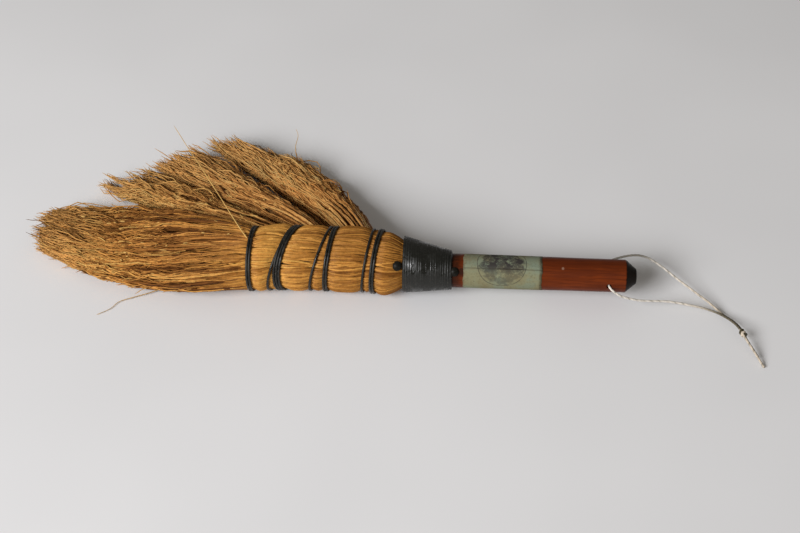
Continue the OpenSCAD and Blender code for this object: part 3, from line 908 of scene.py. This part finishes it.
def mark_ink(m, x, angle):
    """A round printed mark with no lettering: a thin ring round worn, blotchy ink."""
    round_x = m.minus(x, MARK_X)
    round_a = m.times(m.minus(angle, MARK_ANGLE), HANDLE_D / 2)
    far = m.math("SQRT", m.plus(m.times(round_x, round_x), m.times(round_a, round_a)))
    off_ring = m.fade(m.math("ABSOLUTE", m.minus(far, MARK_R)), 0.12, 0.42)
    ring = m.math("SUBTRACT", 1.0, off_ring, clamp=True)
    worn = m.noise((0.26, 0.3, 0.3), 5, 0.75, 0.6)
    speck = m.noise((1.1, 1.1, 1.1), 3, 0.6)
    patch = m.noise((0.13, 0.15, 0.15), 2, shift=(5, 2, 9))
    edge = m.plus(far, m.times(m.minus(patch, 0.5), 11.0))
    heavy = m.fade(m.noise((0.16, 0.22, 0.22), 3, shift=(3, 8, 1)), 0.47, 0.56)
    blot = m.times(m.fade(worn, 0.36, 0.5), m.fade(speck, 0.3, 0.5, 0.4, 0.85))
    blot = m.times(m.most(blot, heavy), m.fade(edge, 15.2, 13.4))
    blot = m.times(blot, m.fade(angle, math.radians(60), math.radians(25), 0.55, 0.95))
    return m.most(m.times(ring, m.fade(worn, 0.3, 0.6, 0.25, 0.8)), blot)


def label_material():
    m = Shader("label_paper", 0.75, 0.12)
    axes = m.axes()
    x = axes["X"]
    angle = m.math("ARCTAN2", m.times(axes["Y"], -1.0), m.minus(axes["Z"], HANDLE_Z))
    wide = m.noise((0.09, 0.09, 0.09), 4)
    fine = m.noise((0.8, 0.8, 0.8), 5, 0.65)
    fibres = m.noise((0.5, 3.0, 3.0), 4)
    # Greener above the fold and browner below it, with stains and pale fibres
    wander = m.plus(angle, m.times(m.minus(wide, 0.5), 0.3))
    below = m.fade(wander, FOLD_ANGLE - 0.35, FOLD_ANGLE + 0.45)
    paper = m.blend(below, (0.185, 0.207, 0.14), (0.205, 0.198, 0.112))
    paper = m.blend(m.fade(wide, 0.45, 0.65, 0.0, 0.6), paper, (0.19, 0.155, 0.08))
    paper = m.blend(m.fade(wide, 0.5, 0.35, 0.0, 0.5), paper, (0.17, 0.215, 0.16))
    paper = m.blend(m.fade(fine, 0.48, 0.74, 0.0, 0.55), paper, (0.1, 0.09, 0.05))
    paper = m.blend(m.fade(fibres, 0.6, 0.75, 0.0, 0.3), paper, (0.32, 0.33, 0.22))
    paper = m.blend(mark_ink(m, x, angle), paper, (0.034, 0.028, 0.028))
    # The crack along the fold, deepest where the mark is
    off_fold = m.minus(m.plus(angle, m.times(wide, 0.05)), FOLD_ANGLE + 0.025)
    crack = m.math("SUBTRACT", 1.0, m.fade(m.math("ABSOLUTE", off_fold), 0.01, 0.045), clamp=True)
    deep = m.plus(0.4, m.times(m.fade(x, 58.0, 63.0), m.fade(x, 80.0, 74.0, 0.0, 0.5)))
    paper = m.blend(m.times(crack, deep), paper, (0.03, 0.024, 0.018))
    # Dark specks, and grime along both ends
    dots = m.noise((0.75, 0.75, 0.75), 1, shift=(31, 7, 3))
    paper = m.blend(m.fade(dots, 0.74, 0.78, 0.0, 0.8), paper, (0.05, 0.035, 0.02))
    dirt = m.most(m.fade(x, 41.0, 37.0), m.fade(x, 86.4, 88.0, 0.0, 0.8))
    dirt = m.times(dirt, m.fade(fine, 0.25, 0.6, 0.3, 1.0))
    paper = m.blend(m.times(dirt, 0.65), paper, (0.055, 0.035, 0.018))
    m.set("Base Color", paper)
    m.set("Roughness", m.fade(wide, 0.3, 0.7, 0.62, 0.8))
    crease = m.bump(m.times(crack, -1.0), 0.6, 0.0003)
    m.set("Normal", m.bump(fine, 0.25, 0.0001, m.bump(wide, 0.5, 0.0004, crease)))
    return m.material


def label_sheet():
    """The paper's rows of points from end to end, each one turn and a lap round the handle."""
    rng = np.random.default_rng(8)
    turn = 2 * np.pi
    lap = math.radians(24)
    start_angle = math.radians(140)
    thickness = 0.22
    around = np.linspace(0, turn + lap, LABEL_STEPS)
    taper = (HANDLE_D - BUTT_D) / 2 / (CHAMFER_X - NECK_L)
    # The lap lies on the first turn, and its edge stands off a little
    lift = 0.08 + 0.28 * ease((around - turn + 0.05) / 0.15)
    lift = lift + 0.12 * np.maximum(0, (around - turn - 0.3) / 0.12)
    # The ends are cut a little unevenly, and the paper went on a little askew
    edge_1 = waves(rng, 1, around * 11, [(7.0, 0.12), (19.0, 0.25)])[0]
    edge_2 = waves(rng, 1, around * 11, [(6.0, 0.16), (23.0, 0.35)])[0]
    angle = start_angle - around
    skew = 0.6 * np.cos(start_angle - around - math.radians(138))
    rows = []
    for v in np.linspace(0, 1, 26):
        x = mix(LABEL_X + edge_1, LABEL_X + LABEL_L + edge_2, v) - skew
        rub = waves(rng, 1, around * 11, [(9.0, 0.02), (21.0, 0.03)])[0]
        r = HANDLE_D / 2 - taper * (x - NECK_L) + lift + np.abs(rub)
        rows.append(np.stack([x, r * np.cos(angle), HANDLE_Z + r * np.sin(angle)], -1))
    rows = np.array(rows)
    # Both ends are turned in towards the wood by the paper's thickness
    under = rows[[0, -1]].copy()
    for row in under:
        out = row[:, 1:] - [0, HANDLE_Z]
        row[:, 1:] -= out / np.linalg.norm(out, axis=1, keepdims=True) * thickness
    return np.vstack([under[:1], rows, under[1:]])


LABEL_STEPS = 180
sheet = label_sheet()
i = np.arange(len(sheet) - 1)[:, None] * LABEL_STEPS
j = np.arange(LABEL_STEPS - 1)[None]
quads = np.stack([i + j, i + j + 1, i + LABEL_STEPS + j + 1, i + LABEL_STEPS + j], -1).reshape(-1, 4)
label = mesh_object("label_sheet", place(sheet.reshape(-1, 3)), quads, label_material())
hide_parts("paper_label")

# ---- The string: the routes of its two legs, from the middle of the cross hole ----
NEAR = [
    [0, 0, 19.5], [0, -5, 19.5], [0.2, -10.4, 19.4], [2.6, -13.2, 18], [7.5, -14, 14.8],
    [13, -13.6, 12.4], [20, -12.6, 10], [27, -11, 8.3], [34, -9.5, 7.1], [41, -8.6, 6], [48, -8.8, 5],
    [55, -9.7, 4.3], [61, -10.8, 3.8], [66, -12.4, 3.4], [71, -14.6, 3.2], [76, -18.7, 3.6],
    [80, -23.8, 4.6], [83, -29.8, 5.8], [85, -36, 6.6], [87.5, -42.5, 6.2], [91, -49.5, 4.6],
    [94.5, -56, 2.6], [97.2, -61.2, 0.9],
]
FAR = [
    [0, 0, 19.5], [0, 5, 19.5], [0.3, 10.6, 19.6], [2.8, 14.4, 20], [7, 16.8, 20.1], [11, 19, 19.6],
    [16.5, 21.5, 18.7], [22, 23.2, 17.2], [27.5, 23.3, 15.2], [32.5, 21.4, 13.2], [37, 19, 11.4],
    [41.5, 15.9, 9.6], [46, 12.4, 8], [50.5, 8.9, 6.7], [55.5, 4.7, 5.6], [61, -0.4, 4.6],
    [66, -5.2, 4], [71.5, -11.2, 3], [76.5, -17.2, 2.5], [80.7, -22.2, 3.4], [83.9, -28.3, 4.6],
    [85.9, -34.7, 5.5], [88, -41.3, 5], [91.5, -48.3, 3.4], [94.2, -53.4, 2],
]
WHITE = np.array([0.8, 0.74, 0.65])
SOILED = np.array([0.62, 0.53, 0.42])
OLIVE = np.array([0.06, 0.05, 0.024])


def near_olive(s):
    """How olive the near leg is at s millimetres along it."""
    return ease((s - 66) / 26) * ease((112 - s) / 3)


def far_olive(s):
    """The same for the far leg."""
    return np.maximum(0.75 * ease((52 - s) / 16), 0.95 * ease((s - 100) / 8))


def twine(name, points, olive):
    """Two plies laid round each other, one white and one with an olive thread, from the cross hole
    outwards. Also gives its path and its length in metres."""
    sides, lay, spacing = 16, 5.4, 0.35
    path = catmull(np.array(points) + [HOLE_X, 0, 0], 24)
    s = np.concatenate([[0], np.cumsum(np.linalg.norm(np.diff(path, axis=0), axis=1))])
    even = np.linspace(0, s[-1], int(s[-1] / spacing))
    path = np.stack([np.interp(even, s, path[:, k]) for k in range(3)], -1)
    s = even
    ahead = np.gradient(path, axis=0)
    ahead /= np.linalg.norm(ahead, axis=1, keepdims=True)
    one = np.cross(ahead, [0, 0, 1.0])
    one /= np.linalg.norm(one, axis=1, keepdims=True)
    two = np.cross(ahead, one)
    local = round_angles(sides)[None] - (2 * np.pi * s / lay)[:, None]
    rng = np.random.default_rng(len(points) + len(name))
    fuzz = 1 + 0.05 * rng.normal(0, 1, local.shape)
    r = TWINE_R * (0.74 + 0.26 * np.abs(np.cos(local)) ** 0.8) * fuzz
    r[0] *= 0.5
    r[-1] *= 0.55
    verts = path[:, None] + r[..., None] * spokes(one, two, sides)
    verts[..., 2] = np.maximum(verts[..., 2], 0.02)
    # Olive ticks from the thread, olive stretches, shade between the plies, and soiling towards the knot
    thread = mix(0.3, 0.6, ease(np.sin(s / 3.1 + np.sin(s / 7.7)) + 0.5))[:, None]
    ticks = ease((np.cos(local) - 0.6) / 0.35) * thread
    dark = np.maximum(ticks, olive(s)[:, None] * (0.88 + 0.12 * np.sin(2 * local)))[..., None]
    groove = (1 - 0.22 * (1 - np.abs(np.cos(local))) ** 2)[..., None]
    plain = mix(WHITE, SOILED, ease((s - 45) / 50)[:, None, None])
    tint = (mix(plain, OLIVE, dark) * groove).reshape(-1, 3)
    quads = grid_quads(len(path), sides)
    ob = mesh_object(name, place(verts.reshape(-1, 3)), quads, twine_look, "hang_loop", tint=tint)
    return ob, place(path), float(s[-1]) / 1000


near, near_path, near_length = twine("string_near_leg", NEAR, near_olive)
far, far_path, far_length = twine("string_far_leg", FAR, far_olive)
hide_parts("string_near")
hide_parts("string_far")


def knot_coil(q):
    """The knot, from q = 0 to 1: the string taken round both legs."""
    middle = np.array([HOLE_X + 85.6, -36, 6.1])
    lead = np.array([0.42, -0.91, 0])
    beside = np.array([0.91, 0.42, 0])
    spin = 2 * np.pi * 2.2 * q
    round_it = beside * np.cos(spin)[:, None] + np.array([0, 0, 1]) * np.sin(spin)[:, None]
    coil = middle + lead * ((q - 0.5) * 4.6)[:, None] + 1.25 * round_it
    coil[:, 2] = np.maximum(coil[:, 2], 0.8)
    return coil


q = np.linspace(0, 1, 90)
colour = mix(OLIVE, SOILED, ease((q - 0.3) / 0.15)[:, None])
colour = mix(colour, OLIVE * 0.7, ease((q - 0.7) / 0.1)[:, None])
knot = tube_mesh("knot", knot_coil(q), 0.8, twine_look, "hang_loop", colour)
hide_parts("string_knot")


# ---- Floor, light and colour ----
def floor_material():
    m = Shader("floor", 0.9, 0.15)
    cloud = m.noise((0.004, 0.004, 0.004), 2)
    m.set("Base Color", m.blend(m.fade(cloud, 0.3, 0.7), (0.79, 0.785, 0.79), (0.83, 0.825, 0.83)))
    return m.material


def area_light(name, where, size, power, colour):
    """A rectangular light, size in metres and power in watts, that faces the whisk."""
    data = bpy.data.lights.new(name, "AREA")
    data.shape = "RECTANGLE"
    data.size, data.size_y = size
    data.energy = power
    data.color = colour
    ob = bpy.data.objects.new(name, data)
    bpy.context.scene.collection.objects.link(ob)
    ob.location = where
    ob.rotation_mode = "QUATERNION"
    ob.rotation_quaternion = (-Vector(where)).to_track_quat("-Z", "Y")


bpy.ops.mesh.primitive_plane_add(size=12)
floor = bpy.context.object
floor.name = "floor"
floor.data.materials.append(floor_material())

world = bpy.data.worlds.new("world")
bpy.context.scene.world = world
world.use_nodes = True
background = world.node_tree.nodes["Background"]
background.inputs["Color"].default_value = (1.0, 0.95, 0.87, 1)
background.inputs["Strength"].default_value = 0.2

area_light("window", (-1.7, -2.0, 1.56), (1.8, 1.3), 113, (0.985, 0.985, 1.0))
view = bpy.context.scene.view_settings
view.view_transform = "Standard"
view.look = "None"
view.exposure = 0.0
